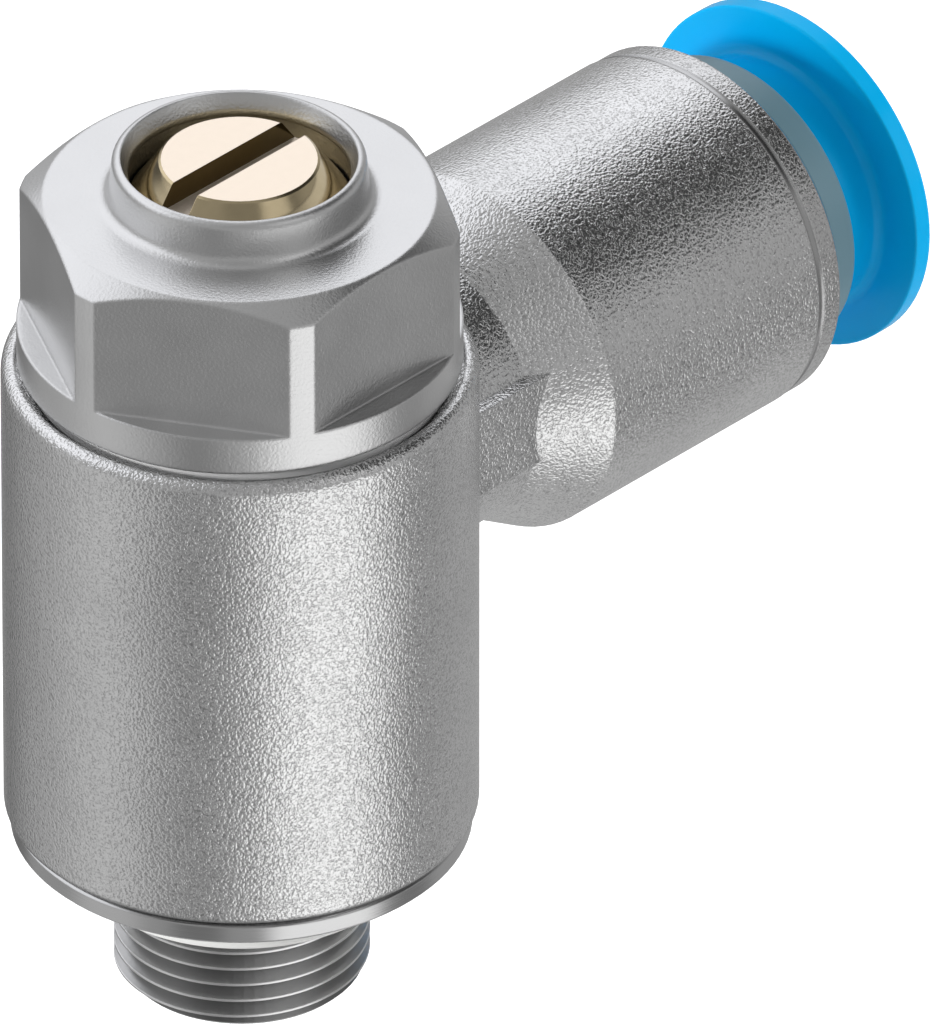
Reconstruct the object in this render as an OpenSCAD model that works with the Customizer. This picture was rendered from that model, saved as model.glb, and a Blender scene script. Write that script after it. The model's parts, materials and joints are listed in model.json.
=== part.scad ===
// One-way flow control valve with a swivelling push-in connector.
// Millimetres. The origin is on the screw axis at the underside of the seal ring.
// +Z runs up along the hollow screw and the barrel points along +X.

/* [Port thread] */
// Outside diameter of the port thread, G1/8
thread_d = 9.728; // [9.4:0.001:10.2]
// Height of the thread below the seal ring
thread_h = 4.72; // [4:0.01:8]
// Width of the chamfer at the end of the thread
thread_chamfer = 0.47; // [0.2:0.01:0.8]
// Diameter of the flow bore inside the thread
port_bore_d = 6; // [4.6:0.1:6.4]
// Diameter of the relief behind the thread
relief_d = 8.6; // [8.2:0.05:8.9]

/* [Seal ring and disc] */
// Outside diameter of the seal ring
seal_d = 13; // [12.4:0.1:14.5]
// Height of the seal ring
seal_h = 1.78; // [1.2:0.01:2.5]
// Amount by which the disc's edge lies inside the housing's, on the radius
disc_inset = 0.25; // [0:0.05:1]
// Thickness of the retaining disc
disc_t = 0.85; // [0.5:0.05:1.2]
// Diameter of the spigot that the disc is pressed on
spigot_d = 10.8; // [10.2:0.1:11.6]

/* [Housing] */
// Outside diameter of the housing's upright cylinder
body_d = 18; // [17.6:0.1:20]
// Height of the upright cylinder
body_h = 19.7; // [19.6:0.05:24]
// Diameter of the bore that swivels on the stem
body_bore_d = 13; // [12.4:0.1:13.6]
// Depth of the recess for the screw head
recess_h = 0.55; // [0.4:0.05:1.2]
// Radius of the housing's bottom edge
body_edge_r = 0.3; // [0.1:0.05:0.5]
// Radius of the housing's top edge
body_top_edge_r = 0.5; // [0.2:0.05:0.5]

/* [Barrel] */
// Height of the barrel's axis above the foot of the housing
barrel_up = 14.05; // [12.6:0.05:14.6]
// Outside diameter of the barrel
barrel_d = 14.58; // [14.2:0.02:16]
// Distance of the barrel's mouth from the screw axis
barrel_x = 25.5; // [24.5:0.1:28]
// Diameter of the neck between housing and barrel
barrel_neck_d = 11.5; // [10:0.1:12]
// Distance from the screw axis to the crease where neck cone and barrel meet
crease_x = 12.8; // [12.4:0.1:13.6]
// Angle of the neck cone to the barrel's axis
neck_cone_a = 30; // [25:1:40]
// Radius of the rounding where neck cone and barrel meet
crease_r = 0.2; // [0.1:0.1:1]
// Top of the flat cheeks above the barrel's axis
cheek_up = 2.4; // [1.6:0.1:3]
// Bottom of the flat cheeks below the barrel's axis
cheek_down = 1.3; // [0.8:0.1:2.2]
// Width of the groove line near the barrel's mouth
line_w = 0.3; // [0.15:0.05:0.5]
// Depth of the groove line
line_depth = 0.08; // [0.04:0.01:0.14]
// Length of the end ring between groove line and mouth
end_ring_w = 1.15; // [0.8:0.05:1.6]
// Height of the bevel at the mouth
mouth_bevel = 0.28; // [0.1:0.02:0.5]

/* [Screw head] */
// Diameter of the head's round bar
head_d = 16.8; // [16.2:0.1:17.0]
// Height of the round flange under the hexagon
flange_h = 2.17; // [1.4:0.01:3]
// Height of the narrower foot under the round flange
head_foot_h = 0.6; // [0.3:0.05:0.8]
// Inset of the narrower foot from the round flange
head_foot_inset = 0.4; // [0.1:0.05:0.6]
// Hexagon size across flats
hex_af = 15; // [14:0.1:15.6]
// Height from the flange to the top of the hexagon
hex_h = 5.51; // [4.5:0.01:7]
// Angle of the chamfer on top of the hexagon
hex_chamfer_a = 34; // [20:1:40]
// Diameter where the chamfer meets the top face
hex_top_d = 14.76; // [13.5:0.02:14.9]
// Diameter of the neck on top of the hexagon
neck_d = 9.8; // [9.7:0.05:11]
// Amount by which the neck gets narrower on its radius
neck_taper = 0.1; // [0:0.01:0.2]
// Height of the neck
neck_h = 1.72; // [1.5:0.02:2.6]
// Radius of the fillet at the foot of the neck
neck_fillet_r = 0.45; // [0.1:0.05:0.6]

/* [Regulating screw] */
// Diameter of the bore in the head that the regulating screw slides in
head_bore_d = 8.6; // [8.4:0.02:8.9]
// Diameter of the lip that keeps the regulating screw in
lip_d = 8.38; // [8.1:0.02:8.39]
// Depth of the screw's top face below the rim
screw_drop = 0.11; // [0.1:0.01:0.6]
// Diameter of the screw's top face
screw_top_d = 5.98; // [5:0.02:6.6]
// Angle of the screw's flank to its axis
screw_flank_a = 35.7; // [30:0.1:45]
// Width of the screwdriver slot
slot_w = 1.27; // [0.8:0.01:1.6]
// Depth of the screwdriver slot
slot_depth = 0.98; // [0.5:0.02:1.2]
// Outside diameter of the regulating screw's thread
screw_thread_d = 6.9; // [6.4:0.05:7.1]
// Length of the thread in the hollow screw
nut_h = 3; // [2:0.1:4]
// Travel from the position shown down to closed
travel_down = 3.2; // [2.4:0.1:3.4]
// Depth of the lip's underside below the rim
lip_down = 0.85; // [0.6:0.01:1]

/* [Needle] */
// Diameter of the needle seat
seat_d = 3.8; // [3:0.05:4.2]
// Length of the needle seat
seat_h = 2; // [1.4:0.1:2.6]
// Diameter of the stalk above the needle
stalk_d = 5.2; // [4.6:0.1:5.6]
// Diameter of the needle's tip
tip_d = 1.4; // [0.8:0.1:2]
// Length of the needle's cone
needle_h = 2.8; // [2:0.1:3.4]

/* [Stem] */
// Outside diameter of the stem between its lands
stem_d = 9.8; // [9.4:0.1:10.2]
// Diameter of the chamber round the stalk
chamber_d = 7.2; // [7.15:0.01:7.5]
// Height of the lower land
lower_land_h = 4; // [3.2:0.1:4.3]
// Height of the upper land
upper_land_h = 2.75; // [2.4:0.05:3]
// Thickness of the stem's O-rings
stem_ring_t = 1.1; // [0.9:0.05:1.2]
// Diameter of the four lower cross holes
lower_hole_d = 2.6; // [1.8:0.1:2.8]
// Diameter of the four upper cross holes
upper_hole_d = 2.8; // [2:0.1:3]
// Height of the lip seal
lip_seal_h = 2; // [1.6:0.1:2.2]
// Diameter of the collars that hold the lip seal
collar_d = 10.8; // [10.4:0.1:11.4]

/* [Push-in connector] */
// Outside diameter of the tube that the connector takes
tube_d = 8; // [7.9:0.05:8.2]
// Diameter of the flow bore behind the tube
flow_bore_d = 4.6; // [3.6:0.1:4.8]
// Distance from the screw axis to the tube's stop
stop_x = 14.5; // [14:0.1:15.5]
// Length of the plain socket behind the tube seal
socket_h = 2.5; // [1.5:0.1:3]
// Outside diameter of the tube seal
tube_seal_d = 11.5; // [11:0.1:11.7]
// Length of the tube seal
tube_seal_h = 2.2; // [1.8:0.1:2.4]
// Diameter of the barrel's main bore
barrel_bore_d = 12; // [11.9:0.02:12.3]
// Thickness of the spacer ring
spacer_t = 0.8; // [0.6:0.05:1]
// Distance that the retaining sleeve stands out of the mouth
sleeve_out = 2; // [1:0.1:2.2]
// Length of the retaining sleeve
sleeve_len = 4.95; // [4.5:0.05:5]
// Outside diameter of the release ring's neck
release_neck_d = 10.2; // [10.2:0.05:10.5]
// Outside diameter of the release ring's flange
release_flange_d = 14.04; // [12.6:0.02:15]
// Thickness of the release ring's flange
release_flange_t = 0.8; // [0.7:0.05:1.4]
// Gap between the retaining sleeve and the back of the flange
release_reach = 2.2; // [1.6:0.1:3]
// Radius of the fillet behind the flange
release_fillet_r = 0.45; // [0.3:0.05:1]
// Radius of the flange's outer edges
release_edge_r = 0.08; // [0.05:0.01:0.3]

/* [Grip segments] */
// Thickness of the segments' steel strip
grip_t = 0.4; // [0.3:0.05:0.45]
// Lean of the segments from square to the tube
grip_lean_a = 35; // [30:1:38]
// Gap between two segments, as an angle about the tube
grip_gap_a = 6; // [4:1:10]
// Amount by which the segments bite into the tube, on its radius
grip_bite = 0.15; // [0.05:0.01:0.2]

/* [Clearances] */
// Play of the stem's lands in the housing, on the radius
land_gap = 0.06; // [0.02:0.01:0.09]
// Play of the regulating screw in its bores, on the radius
screw_gap = 0.06; // [0.02:0.01:0.09]
// Room left round a rubber ring, on the radius
rubber_gap = 0.03; // [0.02:0.01:0.05]
// Room left between pressed pieces, on the radius
press_gap = 0.01; // [0.01:0.01:0.03]
// Play of the release ring in the retaining sleeve, on the radius
release_gap = 0.1; // [0.05:0.01:0.15]
// Play of the tube in the socket and in the release ring, on the radius
tube_gap = 0.1; // [0.05:0.01:0.15]
// Gap between the retaining disc and the foot of the housing
foot_gap = 0.12; // [0.1:0.01:0.3]
// Gap between the screw head and the floor of the recess
head_gap = 0.1; // [0.05:0.01:0.2]
// Play of the screw head in the recess, on the radius
head_play = 0.08; // [0.05:0.01:0.2]

/* [Hidden] */

// Overrun of a cut past the face that it opens
cut = 0.5;
$fn = 96;

// Outside diameter of the retaining disc
disc_d = body_d - 2 * disc_inset;

// Heights along the screw axis
disc_z = seal_h;
stem_z = disc_z + disc_t;
body_z = stem_z + foot_gap;
body_top_z = body_z + body_h;
recess_z = body_top_z - recess_h;
head_z = recess_z + head_gap;
head_foot_z = head_z + head_foot_h;
flange_z = head_z + flange_h;
hex_top_z = flange_z + hex_h;
rim_z = hex_top_z + neck_h;
barrel_z = body_z + barrel_up;

// Lands and annular spaces of the stem
land_d = body_bore_d - 2 * land_gap;
lower_land_z = stem_z + lower_land_h;
upper_land_z = head_z - upper_land_h;
ring_groove_h = stem_ring_t + 0.4;
lower_ring_z = stem_z + lower_land_h * 0.53;
upper_ring_z = recess_z - ring_groove_h / 2 - 0.75;
stem_ring_out_r = body_bore_d / 2 - rubber_gap;
stem_ring_mid_r = stem_ring_out_r - stem_ring_t / 2;
ring_floor_d = 2 * (stem_ring_out_r - stem_ring_t - rubber_gap);

// Cross holes, lip seal and needle seat
lower_hole_z = lower_land_z + 0.35 + lower_hole_d / 2;
collar_t = 0.5;
lip_seal_z = lower_hole_z + lower_hole_d / 2 + 0.4 + collar_t;
lip_floor_d = stem_d - 0.5;
seat_z = lower_hole_z + lower_hole_d / 2 + 0.25;
seat_top_z = seat_z + seat_h;
chamber_z = seat_top_z + (chamber_d - seat_d) / 2 * 0.5;

// Regulating screw in the position shown
screw_top_z = rim_z - screw_drop;
screw_land_d = head_bore_d - 2 * screw_gap;
flank_h = (screw_land_d - screw_top_d) / 2 / tan(screw_flank_a);
screw_land_z = screw_top_z - flank_h;
lip_z = rim_z - lip_down;
lip_t = 0.25;
head_bore_z = head_z + 1;
screw_land_h = screw_land_z - head_bore_z - travel_down - 0.3;
nut_z = head_bore_z - nut_h;
nut_d = screw_thread_d + 2 * (screw_gap - 0.01);
shank_z = nut_z - 0.4;
screw_ring_t = 0.9;
screw_ring_out_r = head_bore_d / 2 - rubber_gap;
screw_ring_mid_r = screw_ring_out_r - screw_ring_t / 2;
screw_ring_z = screw_land_z - screw_land_h / 2;
needle_d = seat_d - 0.1;
needle_z = seat_top_z + travel_down - 1.6;
needle_land_h = 1.6;

// Push-in connector, distances from the screw axis along the barrel
socket_d = tube_d + 2 * tube_gap;
seal_x = stop_x + socket_h;
spacer_x = seal_x + tube_seal_h;
spacer_front_x = spacer_x + spacer_t;
spacer_rim = 1.5;
bore_gap = 0.02;
line_x = barrel_x - end_ring_w - line_w;
sleeve_front_x = barrel_x + sleeve_out;
sleeve_back_x = sleeve_front_x - sleeve_len;
sleeve_d = barrel_bore_d - 2 * bore_gap;
sleeve_bore_d = release_neck_d + 2 * release_gap;
flange_x = sleeve_front_x + release_reach;
release_front_x = flange_x + release_flange_t;
stop_collar_d = sleeve_bore_d + 0.45;
stop_collar_room_d = stop_collar_d + 0.25;
stop_collar_w = 0.65;
sleeve_lip_x = sleeve_back_x + 1.75;
stop_collar_x = sleeve_lip_x - stop_collar_w - 0.1;

// Grip segments. Each turns about a line at its outer edge.
grip_count = 8;
grip_pivot_x = sleeve_back_x - 0.1 - grip_t / 2;
grip_pivot_r = barrel_bore_d / 2 - 0.15 - grip_t / 2;
grip_edge_r = tube_d / 2 - grip_bite;
grip_len = (grip_pivot_r - grip_edge_r - grip_t / 2 * sin(grip_lean_a)) / cos(grip_lean_a);
grip_arc = 360 / grip_count - grip_gap_a;
nose_d = tube_d + 1;
nose_x = grip_pivot_x - (grip_pivot_r - nose_d / 2) * tan(grip_lean_a)
    + grip_t / 2 / cos(grip_lean_a) + 0.35;

// Points on an arc about [x, y]
function arc(x, y, r, from, to, steps = 6) =
    [for (i = [0:steps]) let (a = from + (to - from) * i / steps) [x + r * cos(a), y + r * sin(a)]];

// Turns a profile of [radius, distance] about the barrel's axis
module about_barrel() {
    translate([0, 0, barrel_z])
        rotate([0, 90, 0])
            rotate_extrude()
                children();
}

// Cylinder along the barrel's axis, from one distance to another
module barrel_cylinder(from, to, d) {
    translate([from, 0, barrel_z])
        rotate([0, 90, 0])
            cylinder(h = to - from, d = d);
}

// Cylinder up the screw axis, from one height to another
module upright_cylinder(from, to, d) {
    translate([0, 0, from])
        cylinder(h = to - from, d = d);
}

// Ring of round section about the screw axis
module rubber_ring(mid_r, z, t) {
    rotate_extrude()
        translate([mid_r, z])
            circle(d = t, $fn = 48);
}

// Ring-shaped groove about the screw axis
module ring_groove(z, h, floor_d, outer_d) {
    rotate_extrude()
        translate([floor_d / 2, z - h / 2])
            square([(outer_d - floor_d) / 2 + cut, h]);
}

// Four holes through the stem's wall, square to the screw axis
module cross_holes(z, d, turn) {
    for (a = [0, 90])
        translate([0, 0, z])
            rotate([90, 0, a + turn])
                cylinder(h = stem_d + 2 * cut, d = d, center = true);
}

// Outline of the stem and thread, from the thread's end up to the head
module stem_outline() {
    polygon([
        [0, -thread_h],
        [thread_d / 2 - thread_chamfer, -thread_h],
        [thread_d / 2, thread_chamfer - thread_h],
        [thread_d / 2, 0],
        [relief_d / 2, 0],
        [relief_d / 2, disc_z],
        [spigot_d / 2, disc_z],
        [spigot_d / 2, stem_z],
        [land_d / 2 - 0.15, stem_z],
        [land_d / 2, stem_z + 0.15],
        [land_d / 2, lower_land_z],
        [stem_d / 2, lower_land_z],
        [stem_d / 2, lip_seal_z - collar_t],
        [collar_d / 2, lip_seal_z - collar_t],
        [collar_d / 2, lip_seal_z],
        [lip_floor_d / 2, lip_seal_z],
        [lip_floor_d / 2, lip_seal_z + lip_seal_h],
        [collar_d / 2, lip_seal_z + lip_seal_h],
        [collar_d / 2, lip_seal_z + lip_seal_h + collar_t],
        [stem_d / 2, lip_seal_z + lip_seal_h + collar_t],
        [stem_d / 2, upper_land_z],
        [land_d / 2, upper_land_z],
        [land_d / 2, head_z],
        [0, head_z]
    ]);
}

// Hexagon between its round flange and its chamfered top
module hexagon_head() {
    edge = 0.1;
    chamfer_h = (head_d - hex_top_d) / 2 * tan(hex_chamfer_a);
    rotate_extrude()
        polygon([
            [0, head_z],
            [head_d / 2 - head_foot_inset, head_z],
            [head_d / 2 - head_foot_inset, head_foot_z],
            [head_d / 2 - edge, head_foot_z],
            [head_d / 2, head_foot_z + edge],
            [head_d / 2, flange_z],
            [0, flange_z]
        ]);
    intersection() {
        upright_cylinder_hex();
        rotate_extrude()
            polygon([
                [0, head_foot_z + edge],
                [head_d / 2, head_foot_z + edge],
                [head_d / 2, hex_top_z - chamfer_h],
                [hex_top_d / 2, hex_top_z],
                [0, hex_top_z]
            ]);
    }
}

// Hexagon bar with two corners on the barrel's line
module upright_cylinder_hex() {
    translate([0, 0, head_z])
        cylinder(h = hex_top_z - head_z, r = hex_af / 2 / cos(30), $fn = 6);
}

// Outline of the round neck, with its fillet and rounded rim
module neck_outline() {
    rim_r = 0.3;
    foot_r = neck_d / 2;
    top_r = foot_r - neck_taper;
    polygon(concat(
        [[0, hex_top_z - cut]],
        [[foot_r + neck_fillet_r, hex_top_z - cut]],
        arc(foot_r + neck_fillet_r, hex_top_z + neck_fillet_r, neck_fillet_r, 270, 180),
        arc(top_r - rim_r, rim_z - rim_r, rim_r, 0, 90),
        [[0, rim_z]]
    ));
}

// Bore of the head, with the lip that keeps the regulating screw in
module head_bore() {
    mouth_r = neck_d / 2 - neck_taper - 0.32;
    upright_cylinder(head_bore_z, lip_z, head_bore_d);
    upright_cylinder(lip_z - cut, rim_z + cut, lip_d);
    rotate_extrude()
        polygon([
            [0, lip_z + lip_t],
            [lip_d / 2, lip_z + lip_t],
            [mouth_r, rim_z],
            [mouth_r, rim_z + cut],
            [0, rim_z + cut]
        ]);
}

// Port bore, seat, chamber and thread for the regulating screw
module stem_bores() {
    upright_cylinder(-thread_h - cut, seat_z, port_bore_d);
    upright_cylinder(seat_z - cut, seat_top_z + cut, seat_d);
    rotate_extrude()
        polygon([
            [0, seat_top_z],
            [seat_d / 2, seat_top_z],
            [chamber_d / 2, chamber_z],
            [chamber_d / 2, nut_z],
            [0, nut_z]
        ]);
    upright_cylinder(nut_z - cut, head_bore_z + cut, nut_d);
    cross_holes(lower_hole_z, lower_hole_d, 45);
    cross_holes(barrel_z, upper_hole_d, 0);
}

module hollow_screw() {
    color("silver")
        difference() {
            union() {
                rotate_extrude()
                    stem_outline();
                hexagon_head();
                rotate_extrude()
                    neck_outline();
            }
            head_bore();
            stem_bores();
            ring_groove(lower_ring_z, ring_groove_h, ring_floor_d, land_d);
            ring_groove(upper_ring_z, ring_groove_h, ring_floor_d, land_d);
        }
}

module retaining_disc() {
    edge = 0.12;
    in_r = spigot_d / 2 + press_gap;
    out_r = disc_d / 2;
    color("gainsboro")
        rotate_extrude()
            polygon([
                [in_r, disc_z],
                [out_r - edge, disc_z],
                [out_r, disc_z + edge],
                [out_r, stem_z - edge],
                [out_r - edge, stem_z],
                [in_r, stem_z]
            ]);
}

// Seal ring, with a lead on its inner edge so that its face clears the thread
module port_seal_ring() {
    edge = 0.2;
    in_r = relief_d / 2 + 0.12;
    face_in_r = thread_d / 2 + 0.1;
    out_r = seal_d / 2;
    color("whitesmoke")
        rotate_extrude()
            polygon(concat(
                [[face_in_r, 0]],
                arc(out_r - edge, edge, edge, 270, 360),
                arc(out_r - edge, seal_h - edge, edge, 0, 90),
                [[in_r, seal_h], [in_r, face_in_r - in_r]]
            ));
}

module lower_stem_o_ring() {
    color("dimgray")
        rubber_ring(stem_ring_mid_r, lower_ring_z, stem_ring_t);
}

module upper_stem_o_ring() {
    color("dimgray")
        rubber_ring(stem_ring_mid_r, upper_ring_z, stem_ring_t);
}

// Lip ring: its lips open downwards, so flow from the barrel folds them in
module check_lip_seal() {
    in_r = lip_floor_d / 2 + rubber_gap;
    lip_r = body_bore_d / 2 - rubber_gap;
    back_r = collar_d / 2 + 0.3;
    foot_z = lip_seal_z + rubber_gap;
    top_z = lip_seal_z + lip_seal_h - rubber_gap;
    color("dimgray")
        rotate_extrude()
            polygon([
                [in_r, foot_z],
                [in_r + 0.35, foot_z],
                [in_r + 0.6, foot_z + 0.95],
                [lip_r - 0.55, foot_z + 0.25],
                [lip_r - 0.1, foot_z],
                [lip_r, foot_z + 0.2],
                [back_r, foot_z + 1.35],
                [back_r, top_z],
                [in_r, top_z]
            ]);
}

// Outline of the regulating screw, from the needle's tip up to the slotted face
module regulating_outline() {
    polygon([
        [0, needle_z - needle_h],
        [tip_d / 2, needle_z - needle_h],
        [needle_d / 2, needle_z],
        [needle_d / 2, needle_z + needle_land_h],
        [stalk_d / 2, needle_z + needle_land_h + (stalk_d - needle_d) / 2],
        [stalk_d / 2, shank_z],
        [screw_thread_d / 2 - 0.2, shank_z],
        [screw_thread_d / 2, shank_z + 0.2],
        [screw_thread_d / 2, screw_land_z - screw_land_h],
        [screw_land_d / 2, screw_land_z - screw_land_h],
        [screw_land_d / 2, screw_land_z],
        [screw_top_d / 2 + 0.05, screw_top_z - 0.06],
        [screw_top_d / 2 - 0.05, screw_top_z],
        [0, screw_top_z]
    ]);
}

module regulating_screw() {
    groove_h = screw_ring_t + 0.3;
    floor_d = 2 * (screw_ring_out_r - screw_ring_t - rubber_gap);
    color("khaki")
        difference() {
            rotate_extrude()
                regulating_outline();
            ring_groove(screw_ring_z, groove_h, floor_d, screw_land_d);
            translate([0, 0, screw_top_z - slot_depth / 2 + cut])
                cube([screw_land_d + cut, slot_w, slot_depth + 2 * cut], center = true);
        }
}

module regulating_screw_o_ring() {
    color("dimgray")
        rubber_ring(screw_ring_mid_r, screw_ring_z, screw_ring_t);
}

// Outline of the housing's upright cylinder, with rounded outer edges
module body_outline() {
    polygon(concat(
        [[0, body_z]],
        arc(body_d / 2 - body_edge_r, body_z + body_edge_r, body_edge_r, 270, 360),
        arc(body_d / 2 - body_top_edge_r, body_top_z - body_top_edge_r, body_top_edge_r, 0, 90),
        [[0, body_top_z]]
    ));
}

// Outline of the neck, its cone, the barrel, the groove line and the end ring
module barrel_outline() {
    r = barrel_d / 2;
    neck_r = barrel_neck_d / 2;
    cone_x = crease_x - (r - neck_r) / tan(neck_cone_a);
    end_r = r - line_depth / 2;
    polygon(concat(
        [
            [0, body_bore_d / 4],
            [neck_r, body_bore_d / 4],
            [neck_r, cone_x]
        ],
        arc(r - crease_r, crease_x + crease_r * tan(neck_cone_a / 2), crease_r, -neck_cone_a, 0),
        [
            [r, line_x],
            [r - line_depth, line_x + line_depth / 2],
            [r - line_depth, line_x + line_w - line_depth / 4],
            [end_r, line_x + line_w],
            [end_r, barrel_x - mouth_bevel],
            [end_r - mouth_bevel, barrel_x],
            [0, barrel_x]
        ]
    ));
}

// Flat cheeks on both sides of the neck, flush with its widest line
module cheeks() {
    translate([body_bore_d / 4, -barrel_neck_d / 2, barrel_z - cheek_down])
        cube([crease_x - 0.6 - body_bore_d / 4, barrel_neck_d, cheek_up + cheek_down]);
}

module swivel_housing() {
    color("silver")
        difference() {
            union() {
                rotate_extrude()
                    body_outline();
                about_barrel()
                    barrel_outline();
                cheeks();
            }
            upright_cylinder(body_z - cut, body_top_z + cut, body_bore_d);
            upright_cylinder(recess_z, body_top_z + cut, head_d + 2 * head_play);
            barrel_cylinder(0, stop_x + cut, flow_bore_d);
            barrel_cylinder(stop_x, seal_x + cut, socket_d);
            barrel_cylinder(seal_x, spacer_x + cut, tube_seal_d + 2 * rubber_gap);
            barrel_cylinder(spacer_x, barrel_x + cut, barrel_bore_d);
        }
}

// Rubber ring that closes on the tube and on its seat in the barrel
module tube_seal_ring() {
    in_r = tube_d / 2 - grip_bite;
    out_r = tube_seal_d / 2;
    color("dimgray")
        about_barrel()
            polygon([
                [in_r + 0.5, seal_x],
                [out_r - 0.15, seal_x],
                [out_r, seal_x + 0.2],
                [out_r, spacer_x - 0.25],
                [out_r - 0.25, spacer_x],
                [in_r + 0.45, spacer_x],
                [in_r, spacer_x - tube_seal_h * 0.4],
                [in_r, seal_x + tube_seal_h * 0.35]
            ]);
}

// Ring that backs the tube seal and ends in a rim behind the grip segments
module seal_spacer_ring() {
    out_r = barrel_bore_d / 2 - bore_gap;
    color("gray")
        about_barrel()
            polygon([
                [socket_d / 2, spacer_x],
                [out_r, spacer_x],
                [out_r, spacer_front_x + spacer_rim],
                [out_r - 0.6, spacer_front_x + spacer_rim],
                [out_r - 0.6, spacer_front_x],
                [socket_d / 2, spacer_front_x]
            ]);
}

// Grey sleeve: an inner lip keeps the release ring in
module retaining_sleeve() {
    out_r = sleeve_d / 2;
    edge = 0.2;
    color("slategray")
        about_barrel()
            polygon(concat(
                [
                    [stop_collar_room_d / 2, sleeve_back_x],
                    [out_r - 0.15, sleeve_back_x],
                    [out_r, sleeve_back_x + 0.25]
                ],
                arc(out_r - edge, sleeve_front_x - edge, edge, 0, 90, 4),
                [
                    [sleeve_bore_d / 2 + 0.1, sleeve_front_x],
                    [sleeve_bore_d / 2, sleeve_front_x - 0.15],
                    [sleeve_bore_d / 2, sleeve_lip_x],
                    [stop_collar_room_d / 2, sleeve_lip_x]
                ]
            ));
}

// Blue ring: flange to press on, neck, stop collar and the nose that opens the grip segments
module release_ring() {
    r = release_flange_d / 2;
    neck_r = release_neck_d / 2;
    in_r = socket_d / 2;
    mouth = 0.45;
    color("deepskyblue")
        about_barrel()
            polygon(concat(
                [
                    [in_r, nose_x],
                    [nose_d / 2, nose_x],
                    [nose_d / 2, stop_collar_x - 0.3],
                    [stop_collar_d / 2 - 0.1, stop_collar_x],
                    [stop_collar_d / 2, stop_collar_x + 0.1],
                    [stop_collar_d / 2, stop_collar_x + stop_collar_w],
                    [neck_r, stop_collar_x + stop_collar_w]
                ],
                arc(neck_r + release_fillet_r, flange_x - release_fillet_r, release_fillet_r, 180, 90),
                arc(r - release_edge_r, flange_x + release_edge_r, release_edge_r, 270, 360),
                arc(r - release_edge_r, release_front_x - release_edge_r, release_edge_r, 0, 90),
                arc(in_r + mouth, release_front_x - mouth, mouth, 90, 180)
            ));
}

// Steel strip segment that leans inwards, away from the mouth, with a bevelled biting edge
module grip_segment(index) {
    middle = (index - 0.5) * 360 / grip_count;
    translate([0, 0, barrel_z])
        rotate([0, 90, 0])
            rotate([0, 0, middle - grip_arc / 2])
                rotate_extrude(angle = grip_arc)
                    translate([grip_pivot_r, grip_pivot_x])
                        rotate(grip_lean_a)
                            grip_section();
}

// Section of the steel strip, drawn inwards from its pivot
module grip_section() {
    h = grip_t / 2;
    polygon(concat(
        arc(0, 0, h, 90, -90),
        [
            [-grip_len, -h],
            [-grip_len - 0.12, -h + 0.15],
            [-grip_len + 0.1, h]
        ]
    ));
}

module grip_segment_node(index) {
    color("lightgray")
        grip_segment(index);
}

hollow_screw();
retaining_disc();
port_seal_ring();
lower_stem_o_ring();
upper_stem_o_ring();
check_lip_seal();
regulating_screw();
regulating_screw_o_ring();
swivel_housing();
tube_seal_ring();
seal_spacer_ring();
retaining_sleeve();
release_ring();
grip_segment_node(1);  // grip_segment_1
grip_segment_node(2);  // grip_segment_2
grip_segment_node(3);  // grip_segment_3
grip_segment_node(4);  // grip_segment_4
grip_segment_node(5);  // grip_segment_5
grip_segment_node(6);  // grip_segment_6
grip_segment_node(7);  // grip_segment_7
grip_segment_node(8);  // grip_segment_8
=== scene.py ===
import json
import math

import bmesh
import bpy
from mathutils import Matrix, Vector

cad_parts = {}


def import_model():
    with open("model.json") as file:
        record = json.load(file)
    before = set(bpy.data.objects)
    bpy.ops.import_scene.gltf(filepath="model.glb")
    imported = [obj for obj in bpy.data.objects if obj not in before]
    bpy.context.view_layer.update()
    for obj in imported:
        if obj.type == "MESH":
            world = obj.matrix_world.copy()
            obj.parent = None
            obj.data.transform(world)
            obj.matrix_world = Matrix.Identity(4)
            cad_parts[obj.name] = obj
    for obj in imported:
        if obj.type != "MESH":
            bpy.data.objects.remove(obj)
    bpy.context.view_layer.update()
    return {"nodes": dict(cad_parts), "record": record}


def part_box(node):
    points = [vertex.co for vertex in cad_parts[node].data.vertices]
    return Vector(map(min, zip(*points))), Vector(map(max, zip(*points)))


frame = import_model()
NODES = frame["nodes"]
MM = 0.001

# The port thread, as the frame has it
PORT_THREAD = next(m for m in frame["record"]["mounts"] if m["name"] == "port_thread")
THREAD_R = PORT_THREAD["dims"]["r_mm"] * MM
THREAD_FOOT_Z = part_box("hollow_screw")[0].z

# Its groove: the turns lie 0.71 mm apart in the photograph
THREAD_PITCH = 0.71 * MM
THREAD_DEPTH = 0.60 * MM
THREAD_FLANK = math.radians(27.5)
THREAD_STEPS = 72               # steps of the cutter in one turn
THREAD_OVERRUN = 0.1 * MM       # how far the cutter stands out past the thread
THREAD_CUT_TOP_Z = 0.1 * MM
THREAD_WELD = 0.001 * MM
THREAD_CRISP = math.radians(20)

# Looks of the hollow screw: the thread's soft edge, the inner and outer edge of the painted highlight on its
# crests, and the dull foot of the head, painted pale as painted light in the gap under the head
THREAD_SOFT = 0.02 * MM
CREST_HIGHLIGHT_R = (THREAD_R - 0.04 * MM, THREAD_R - 0.01 * MM)
PAINTED_LIGHT_TOP_Z = 22.62 * MM         # top of the head's round foot
PAINTED_LIGHT_SOFT = 0.01 * MM

# Cast skin: noise for the pebbles, per metre, and their height
PEBBLES = 8600.0
PEBBLE_HEIGHT = 0.019 * MM

# Smooth turned line near the barrel's mouth, and the soft start of the band in front of it, which is painted
# darker as painted shade
LINE_X = 24.05 * MM
LINE_W = 0.3 * MM
LINE_SOFT = 0.03 * MM
MOUTH_SOFT = 0.1 * MM

# Painted shade on the housing's foot, in the gap above the disc
FOOT_SHADE_Z = (2.80 * MM, 3.08 * MM)

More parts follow.
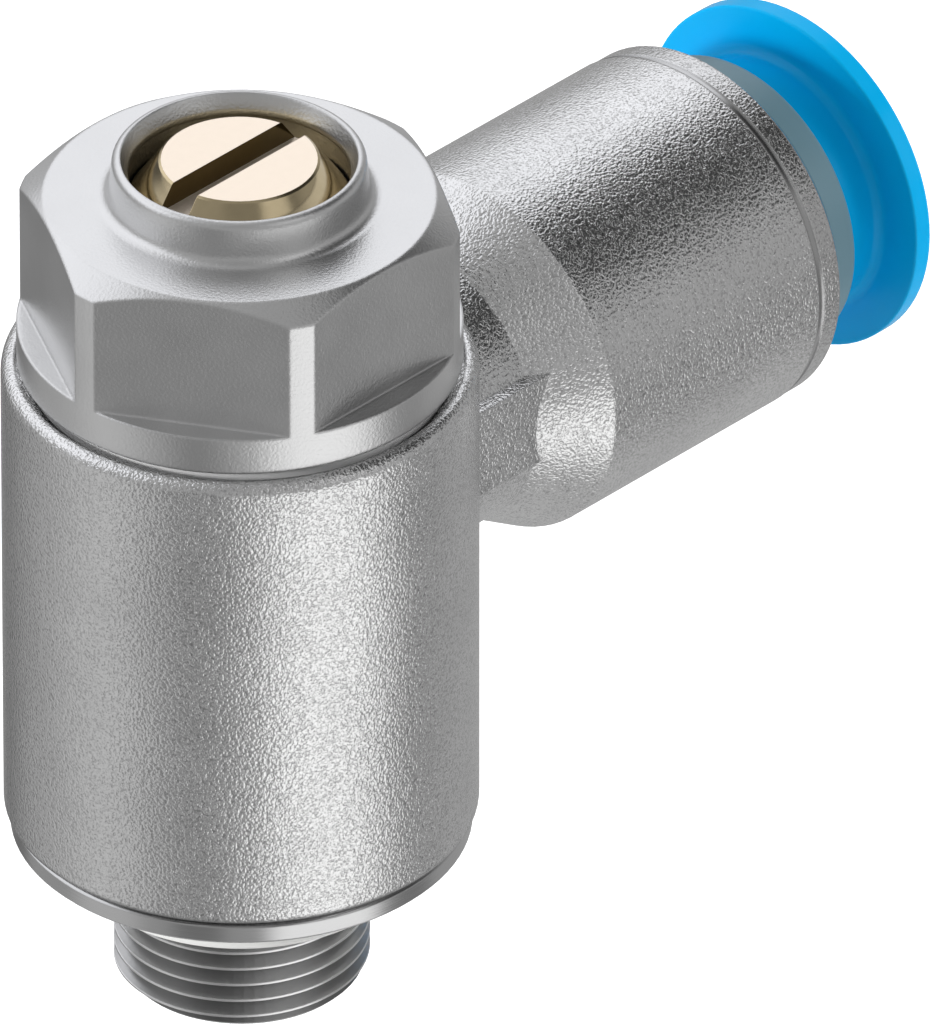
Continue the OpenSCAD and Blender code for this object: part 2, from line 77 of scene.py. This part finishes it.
# Room that the metal mirrors: azimuth, half width, lowest and highest elevation, soft edge, level, tint
ROOM_LEVEL = 0.42
NEUTRAL = (1.0, 1.0, 1.0)
COOL = (0.985, 0.995, 1.03)
ROOM_PATCHES = (
    (10.0, 60.0, -90.0, -45.0, 12.0, 0.52, NEUTRAL),
    (73.0, 13.0, -60.0, -12.0, 10.0, 0.20, NEUTRAL),
    (202.0, 9.0, -60.0, 0.0, 9.0, 0.24, NEUTRAL),
    (152.0, 16.0, -60.0, 0.0, 10.0, 0.63, NEUTRAL),
    (319.0, 11.0, -50.0, -14.0, 8.0, 0.26, NEUTRAL),
    (267.0, 28.0, -54.0, -19.0, 8.0, 1.30, NEUTRAL),
    (230.0, 26.0, 25.0, 80.0, 15.0, 0.32, NEUTRAL),
    (274.0, 14.0, 22.0, 55.0, 12.0, 0.80, NEUTRAL),
    (332.0, 35.0, 27.0, 68.0, 10.0, 0.05, NEUTRAL),
    (88.0, 69.0, 15.0, 64.0, 11.0, 1.23, COOL),
)

# Lamps for the plastics and dull faces: name, azimuth, elevation, distance, size, power
LAMPS = (
    ("key", 350.0, 35.0, 0.5, 0.30, 0.4),
    ("side", 318.0, 18.0, 0.5, 0.30, 1.4),
    ("rear", 165.0, 17.0, 0.5, 0.08, 1.6),
)

# Floor: far enough below the part for its shadow to lie outside the photograph's frame
FLOOR_Z = -60 * MM
FLOOR_SIZE = 4.0
FLOOR_LIFT = 0.6                # light of its own that the camera sees on it

# Camera: the photograph's frame in pixels, and the view that fits it
PHOTO_W = 931
PHOTO_H = 1024
SENSOR = 36.0
FOCAL_PX = 42000.0
AIM = Vector((10.98, -1.23, 10.90)) * MM
CAMERA_AZIMUTH = math.radians(-46.34468)
CAMERA_TILT = math.radians(33.06275)
CAMERA_DISTANCE = 1589.33 * MM
CLIP_START = 0.05
CLIP_END = 20.0

WHITE = (1.0, 1.0, 1.0, 1.0)
FLAT = (1.0, 1.0, 0.0)          # takes the height out of a vector


def grey(level):
    return (level, level, level, 1.0)


def direction(azimuth, elevation):
    a, e = math.radians(azimuth), math.radians(elevation)
    return (math.cos(e) * math.cos(a), math.cos(e) * math.sin(a), math.sin(e))


def sine(elevation):
    """Height of a ray at an elevation. Past the poles it goes on over 1, so no edge shows there."""
    if abs(elevation) > 90.0:
        return math.copysign(1.0 + 0.01 * (abs(elevation) - 90.0), elevation)
    return math.sin(math.radians(elevation))


def cosine(angle):
    return math.cos(math.radians(angle))


# Node trees

class Nodes:
    """Short calls for building one node tree."""

    def __init__(self, owner):
        owner.use_nodes = True
        self.tree = owner.node_tree
        self.tree.nodes.clear()

    def add(self, kind, **values):
        node = self.tree.nodes.new(kind)
        for key, value in values.items():
            setattr(node, key, value)
        return node

    def link(self, source, target):
        self.tree.links.new(source, target)

    def fill(self, socket, value):
        if isinstance(value, bpy.types.NodeSocket):
            self.link(value, socket)
        else:
            socket.default_value = value

    def span(self, value, low, high, to_low=0.0, to_high=1.0, curve="LINEAR"):
        node = self.add("ShaderNodeMapRange", interpolation_type=curve)
        self.link(value, node.inputs["Value"])
        node.inputs["From Min"].default_value = low
        node.inputs["From Max"].default_value = high
        node.inputs["To Min"].default_value = to_low
        node.inputs["To Max"].default_value = to_high
        return node.outputs["Result"]

    def maths(self, operation, a, b):
        node = self.add("ShaderNodeMath", operation=operation)
        self.fill(node.inputs[0], a)
        self.fill(node.inputs[1], b)
        return node.outputs[0]

    def vector(self, operation, source, other=None):
        node = self.add("ShaderNodeVectorMath", operation=operation)
        self.link(source, node.inputs[0])
        if other is not None:
            node.inputs[1].default_value = other
        return node.outputs

    def mix(self, factor, a, b):
        node = self.add("ShaderNodeMix", data_type="RGBA")
        self.fill(node.inputs[0], factor)
        self.fill(node.inputs[6], a)
        self.fill(node.inputs[7], b)
        return node.outputs[2]

    def blend(self, factor, a, b):
        """Mixes two shaders."""
        node = self.add("ShaderNodeMixShader")
        for socket, source in zip(node.inputs, (factor, a, b)):
            self.link(source, socket)
        return node.outputs[0]

    def axis(self, index, vector):
        node = self.add("ShaderNodeSeparateXYZ")
        self.link(vector, node.inputs[0])
        return node.outputs[index]

    def seen(self):
        """1 for what the camera sees, straight or through glass."""
        ray = self.add("ShaderNodeLightPath").outputs
        return self.maths("MAXIMUM", ray["Is Camera Ray"], ray["Is Transmission Ray"])


class Tree(Nodes):
    """One material round a Principled shader."""

    def __init__(self, name):
        self.material = bpy.data.materials.new(name)
        super().__init__(self.material)
        self.out = self.add("ShaderNodeOutputMaterial")
        self.shader = self.add("ShaderNodeBsdfPrincipled")
        self.link(self.shader.outputs[0], self.out.inputs["Surface"])
        self.coords = self.add("ShaderNodeTexCoord").outputs["Object"]

    def set(self, **values):
        """Sets the shader's own sockets; an underscore in a name stands for a space."""
        for key, value in values.items():
            self.fill(self.shader.inputs[key.replace("_", " ")], value)

    def stretched(self, scale):
        node = self.add("ShaderNodeMapping")
        self.link(self.coords, node.inputs["Vector"])
        node.inputs["Scale"].default_value = scale
        return node.outputs["Vector"]

    def noise(self, per_metre, detail, roughness=0.5, vector=None, distortion=0.0):
        node = self.add("ShaderNodeTexNoise")
        self.link(vector or self.coords, node.inputs["Vector"])
        node.inputs["Scale"].default_value = per_metre
        node.inputs["Detail"].default_value = detail
        node.inputs["Roughness"].default_value = roughness
        node.inputs["Distortion"].default_value = distortion
        return node.outputs["Fac"]

    def place(self, index):
        return self.axis(index, self.coords)

    def band(self, value, low, high, soft):
        """1 between low and high, falling to 0 over the soft width outside."""
        rise = self.span(value, low - soft, low)
        fall = self.span(value, high, high + soft, 1.0, 0.0)
        return self.maths("MULTIPLY", rise, fall)

    def radius(self):
        """Distance from the screw's axis."""
        return self.vector("LENGTH", self.vector("MULTIPLY", self.coords, FLAT)[0])["Value"]

    def upright(self):
        """How far the face points along the screw's axis."""
        return self.axis(2, self.add("ShaderNodeTexCoord").outputs["Normal"])

    def facing_up(self):
        """1 where the face points along the screw's axis, 0 on its flanks."""
        return self.span(self.upright(), 0.90, 0.97)

    def bump(self, height, distance, normal):
        node = self.add("ShaderNodeBump")
        self.link(height, node.inputs["Height"])
        self.link(normal, node.inputs["Normal"])
        node.inputs["Distance"].default_value = distance
        node.inputs["Strength"].default_value = 1.0
        return node.outputs["Normal"]

    def round_edges(self, radius):
        node = self.add("ShaderNodeBevel", samples=6)
        node.inputs["Radius"].default_value = radius
        return node.outputs["Normal"]


# Materials

def cast_metal():
    """Satin nickel over a zinc casting: fine pebbled skin, with one smooth line turned near the mouth;
    painted shade darkens the pebbles' valleys, the band at the mouth and the foot above the disc.
    """
    t = Tree("cast_nickel")
    pebbles = t.noise(PEBBLES, detail=1.0, roughness=0.4, distortion=0.3)
    waves = t.noise(PEBBLES * 0.4, detail=1.0)
    cloud = t.noise(260, detail=3.0)
    line = t.band(t.place(0), LINE_X, LINE_X + LINE_W, LINE_SOFT)

    skin = t.maths("ADD", t.span(pebbles, 0.3, 0.7), t.maths("MULTIPLY", waves, 0.3))
    height = t.maths("MULTIPLY", skin, t.maths("SUBTRACT", 1.0, line))

    nickel = t.mix(t.span(cloud, 0.35, 0.65), grey(0.70), grey(0.76))
    # Painted shade: the pebbles' valleys are darker than the nickel.
    body = t.mix(t.span(pebbles, 0.30, 0.46), grey(0.56), nickel)
    # Painted shade: the band in front of the turned line is darker, its pebbles' valleys darker still.
    mouth = t.mix(t.span(pebbles, 0.32, 0.48), grey(0.50), grey(0.64))
    colour = t.mix(t.span(t.place(0), LINE_X + LINE_W, LINE_X + LINE_W + MOUTH_SOFT), body, mouth)
    # Painted shade on the foot, in the gap above the disc.
    colour = t.mix(t.span(t.place(2), *FOOT_SHADE_Z, 1.0, 0.0), colour, grey(0.16))
    t.set(Base_Color=t.mix(line, colour, grey(0.50)), Metallic=1.0)
    t.set(Roughness=t.span(cloud, 0.3, 0.7, 0.15, 0.20))
    t.set(Normal=t.bump(height, PEBBLE_HEIGHT, t.round_edges(0.15 * MM)))
    return t.material


def bar_metal():
    """Satin plated bar with a fine even grain; dull and pale under the head as painted light in the gap,
    with painted shade on the thread's flanks and a painted highlight on its crests.
    """
    t = Tree("satin_bar")
    grain = t.noise(9000, detail=1.0)
    cloud = t.noise(300, detail=2.0)
    drawn = t.noise(900, detail=2.0, vector=t.stretched((1.0, 1.0, 14.0)))
    thread = t.span(t.place(2), -THREAD_SOFT, THREAD_SOFT, 1.0, 0.0)
    # Painted light: below the head's top the bar is pale and not metallic, so the gap under the head shows
    # light.
    dull = t.maths("SUBTRACT", t.span(t.place(2), PAINTED_LIGHT_TOP_Z, PAINTED_LIGHT_TOP_Z + PAINTED_LIGHT_SOFT, 1.0, 0.0), thread)

    bar = t.mix(t.span(cloud, 0.35, 0.65), grey(0.67), grey(0.71))
    # Painted shade on the thread's flanks, and a painted highlight on its crests.
    flank_shade = t.mix(drawn, grey(0.42), grey(0.48))
    thread_shade_and_highlight = t.mix(t.span(t.radius(), *CREST_HIGHLIGHT_R), flank_shade, grey(0.78))
    t.set(Base_Color=t.mix(thread, t.mix(dull, bar, grey(0.74)), thread_shade_and_highlight))
    t.set(Metallic=t.span(dull, 0.0, 1.0, 1.0, 0.0), Roughness=t.span(cloud, 0.3, 0.7, 0.29, 0.34))

    height = t.maths("MULTIPLY", grain, t.maths("SUBTRACT", 1.0, t.maths("MULTIPLY", thread, 0.8)))
    edges = t.mix(thread, t.round_edges(0.17 * MM), t.round_edges(0.02 * MM))
    t.set(Normal=t.bump(height, 0.011 * MM, edges))
    return t.material


def turned_metal():
    """Bright disc with faint turning marks; its top face is painted dark, as painted shade in the gap under
    the housing.
    """
    t = Tree("turned_disc")
    marks = t.noise(1200, detail=3.0, vector=t.stretched((0.4, 0.4, 16.0)))
    rim = t.mix(marks, grey(0.54), grey(0.60))
    # Painted shade: faces pointing up are near black.
    t.set(Base_Color=t.mix(t.facing_up(), rim, grey(0.10)), Metallic=1.0)
    t.set(Roughness=t.span(marks, 0.3, 0.7, 0.14, 0.21))
    t.set(Normal=t.bump(marks, 0.006 * MM, t.round_edges(0.06 * MM)))
    return t.material


def brass():
    """Pale machined brass: polished slope, upright walls painted dark as painted shade, and fine matt faces
    square to the axis, painted pale and partly non-metallic as painted light.
    """
    t = Tree("pale_brass")
    marks = t.noise(2400, detail=3.0)
    skin = t.noise(5000, detail=2.0)
    face = t.facing_up()
    # Painted light: faces square to the axis are pale and partly non-metallic.
    pale = t.mix(marks, (0.90, 0.785, 0.655, 1.0), (0.94, 0.82, 0.69, 1.0))
    # Painted shade on the upright walls, in the slot and the bore.
    wall_shade = t.mix(marks, (0.13, 0.10, 0.045, 1.0), (0.17, 0.13, 0.06, 1.0))
    slope = t.mix(marks, (0.52, 0.43, 0.27, 1.0), (0.60, 0.50, 0.32, 1.0))
    sides = t.mix(t.span(t.upright(), 0.05, 0.25), wall_shade, slope)
    t.set(Base_Color=t.mix(face, sides, pale))
    t.set(Metallic=t.span(face, 0.0, 1.0, 1.0, 0.6))
    t.set(Roughness=t.span(face, 0.0, 1.0, 0.12, 0.34))
    t.set(Normal=t.bump(skin, 0.002 * MM, t.round_edges(0.04 * MM)))
    return t.material


def plastic(name, light, dark, roughness, per_metre=1500, depth=0.006 * MM, gloss=0.5):
    """Moulded plastic with a faint skin and a slight change of shade."""
    t = Tree(name)
    skin = t.noise(per_metre, detail=3.0)
    cloud = t.noise(180, detail=2.0)
    t.set(Base_Color=t.mix(t.span(cloud, 0.3, 0.7), light + (1.0,), dark + (1.0,)))
    t.set(Roughness=t.span(skin, 0.3, 0.7, roughness - 0.03, roughness + 0.03), Specular_IOR_Level=gloss)
    t.set(Normal=t.bump(skin, depth, t.round_edges(0.1 * MM)))
    return t.material


def spring_steel():
    """Cold-rolled strip with faint lines along it."""
    t = Tree("spring_steel")
    rolled = t.noise(1500, detail=3.0, vector=t.stretched((9.0, 1.0, 1.0)))
    t.set(Base_Color=t.mix(rolled, grey(0.46), grey(0.58)), Metallic=1.0, Roughness=0.3)
    t.set(Normal=t.bump(rolled, 0.005 * MM, t.round_edges(0.04 * MM)))
    return t.material


def pale_floor():
    """Pale floor that takes the shadow; the camera sees it lifted to white, and through it from below."""
    t = Tree("pale_floor")
    speckle = t.noise(40, detail=2.0)
    t.set(Base_Color=t.mix(speckle, grey(0.78), grey(0.80)), Roughness=0.9)
    t.set(Emission_Color=WHITE, Emission_Strength=t.maths("MULTIPLY", t.seen(), FLOOR_LIFT))
    back = t.add("ShaderNodeNewGeometry").outputs["Backfacing"]
    clear = t.add("ShaderNodeBsdfTransparent").outputs[0]
    t.link(t.blend(back, t.shader.outputs[0], clear), t.out.inputs["Surface"])
    return t.material


def dress(material, *nodes):
    for name in nodes:
        mesh = NODES[name].data
        mesh.materials.clear()
        mesh.materials.append(material)


def dress_all():
    dress(cast_metal(), "swivel_housing")
    dress(bar_metal(), "hollow_screw")
    dress(turned_metal(), "retaining_disc")
    dress(brass(), "regulating_screw")
    blue = plastic("release_blue", (0.001, 0.45, 0.88), (0.001, 0.42, 0.83), 0.20, gloss=0.12)
    dress(blue, "release_ring")
    dress(plastic("sleeve_grey", (0.13, 0.235, 0.285), (0.11, 0.205, 0.25), 0.35), "retaining_sleeve")
    dress(plastic("spacer_grey", (0.14, 0.15, 0.17), (0.10, 0.11, 0.13), 0.4), "seal_spacer_ring")
    dress(plastic("seal_white", (0.80, 0.80, 0.78), (0.74, 0.74, 0.72), 0.5), "port_seal_ring")
    rubber = plastic("seal_rubber", (0.020, 0.020, 0.021), (0.03, 0.03, 0.031), 0.55, 3000, 0.01 * MM)
    dress(rubber, "lower_stem_o_ring", "upper_stem_o_ring", "regulating_screw_o_ring")
    dress(rubber, "check_lip_seal", "tube_seal_ring")
    dress(spring_steel(), *(n for n in NODES if n.startswith("grip_segment_")))


# Thread

def thread_cutter():
    """V-shaped ridge wound along the thread, hidden; it fades in over its first turn."""
    bm = bmesh.new()
    turns = (THREAD_CUT_TOP_Z - THREAD_FOOT_Z + THREAD_PITCH) / THREAD_PITCH
    outer = THREAD_R + THREAD_OVERRUN
    half = (THREAD_DEPTH + THREAD_OVERRUN) * math.tan(THREAD_FLANK)
    rings = []
    for i in range(int(turns * THREAD_STEPS) + 1):
        a = 2 * math.pi * i / THREAD_STEPS
        z = THREAD_CUT_TOP_Z - THREAD_PITCH * i / THREAD_STEPS
        deep = min(1.0, i / THREAD_STEPS)
        root = THREAD_R - THREAD_DEPTH * deep
        corners = ((root, 0.0), (outer, half), (outer, -half))
        rings.append([bm.verts.new((r * math.cos(a), -r * math.sin(a), z + dz * deep)) for r, dz in corners])
    for a, b in zip(rings, rings[1:]):
        for k in range(3):
            n = (k + 1) % 3
            bm.faces.new((a[k], a[n], b[n], b[k]))
    bm.faces.new(rings[0][::-1])
    bm.faces.new(rings[-1])
    bmesh.ops.recalc_face_normals(bm, faces=bm.faces)
    mesh = bpy.data.meshes.new("thread_cutter")
    bm.to_mesh(mesh)
    bm.free()
    ob = bpy.data.objects.new("thread_cutter", mesh)
    bpy.context.scene.collection.objects.link(ob)
    ob.hide_render = True
    ob.display_type = "WIRE"
    return ob


def cut_thread():
    """Welds the screw's faces, cuts the groove, and keeps its edges crisp."""
    screw = NODES["hollow_screw"]
    weld = screw.modifiers.new("weld", "WELD")
    weld.merge_threshold = THREAD_WELD
    groove = screw.modifiers.new("thread", "BOOLEAN")
    groove.operation = "DIFFERENCE"
    groove.solver = "EXACT"
    groove.object = thread_cutter()
    crisp = screw.modifiers.new("crisp", "EDGE_SPLIT")
    crisp.split_angle = THREAD_CRISP


# Stage, camera and lights

def camera():
    data = bpy.data.cameras.new("camera")
    data.sensor_width = SENSOR
    data.lens = SENSOR * FOCAL_PX / max(PHOTO_W, PHOTO_H)
    data.clip_start = CLIP_START
    data.clip_end = CLIP_END
    flat = Vector((-math.sin(CAMERA_AZIMUTH), math.cos(CAMERA_AZIMUTH), 0.0))
    forward = flat * math.cos(CAMERA_TILT) - Vector((0.0, 0.0, math.sin(CAMERA_TILT)))
    ob = bpy.data.objects.new("camera", data)
    ob.location = AIM - forward * CAMERA_DISTANCE
    ob.rotation_euler = forward.to_track_quat("-Z", "Y").to_euler()
    bpy.context.scene.collection.objects.link(ob)
    bpy.context.scene.camera = ob


class Room(Nodes):
    """Node tree of the world: patches of light laid one over another round the object."""

    def __init__(self, name):
        self.world = bpy.data.worlds.new(name)
        super().__init__(self.world)
        ray = self.add("ShaderNodeTexCoord").outputs["Generated"]
        self.height = self.axis(2, ray)
        self.bearing = self.vector("NORMALIZE", self.vector("MULTIPLY", ray, FLAT)[0])[0]
        self.light = grey(ROOM_LEVEL)

    def edge(self, value, outside, inside):
        return self.span(value, outside, inside, curve="SMOOTHSTEP")

    def patch(self, azimuth, half, low, high, soft, level, tint):
        """Lays one soft-edged window of light over what is there."""
        across = self.vector("DOT_PRODUCT", self.bearing, direction(azimuth, 0.0))["Value"]
        side = self.edge(across, cosine(half + soft), cosine(half - soft))
        above = self.edge(self.height, sine(low - soft), sine(low + soft))
        below = self.edge(self.height, sine(high + soft), sine(high - soft))
        window = self.maths("MULTIPLY", side, self.maths("MULTIPLY", above, below))
        self.light = self.mix(window, self.light, tuple(level * c for c in tint) + (1.0,))

    def background(self, colour):
        node = self.add("ShaderNodeBackground")
        self.fill(node.inputs["Color"], colour)
        return node.outputs[0]

    def finish(self):
        light = self.blend(self.seen(), self.background(self.light), self.background(WHITE))
        self.link(light, self.add("ShaderNodeOutputWorld").inputs["Surface"])
        return self.world


def world():
    """White to the camera; to everything else a pale room with soft boxes and darker gaps."""
    room = Room("studio")
    for patch in ROOM_PATCHES:
        room.patch(*patch)
    bpy.context.scene.world = room.finish()


def floor():
    """Level square under the part. The metal's reflections pass it by and show the room."""
    half = FLOOR_SIZE / 2
    corners = [(x * half, y * half, FLOOR_Z) for x, y in ((-1, -1), (1, -1), (1, 1), (-1, 1))]
    mesh = bpy.data.meshes.new("floor")
    mesh.from_pydata(corners, [], [(0, 1, 2, 3)])
    mesh.materials.append(pale_floor())
    ob = bpy.data.objects.new("floor", mesh)
    ob.visible_glossy = False
    bpy.context.scene.collection.objects.link(ob)


def lamps():
    """Soft lamps, unseen in reflections: they light what is dull, and bright metal mirrors the room."""
    for name, azimuth, elevation, distance, size, watts in LAMPS:
        toward = Vector(direction(azimuth, elevation))
        data = bpy.data.lights.new(name, "AREA")
        data.shape = "RECTANGLE"
        data.size = data.size_y = size
        data.energy = watts
        ob = bpy.data.objects.new(name, data)
        ob.location = AIM + toward * distance
        ob.rotation_euler = (-toward).to_track_quat("-Z", "Y").to_euler()
        ob.visible_glossy = False
        bpy.context.scene.collection.objects.link(ob)


dress_all()
cut_thread()
camera()
world()
floor()
lamps()
bpy.context.scene.view_settings.view_transform = "Standard"
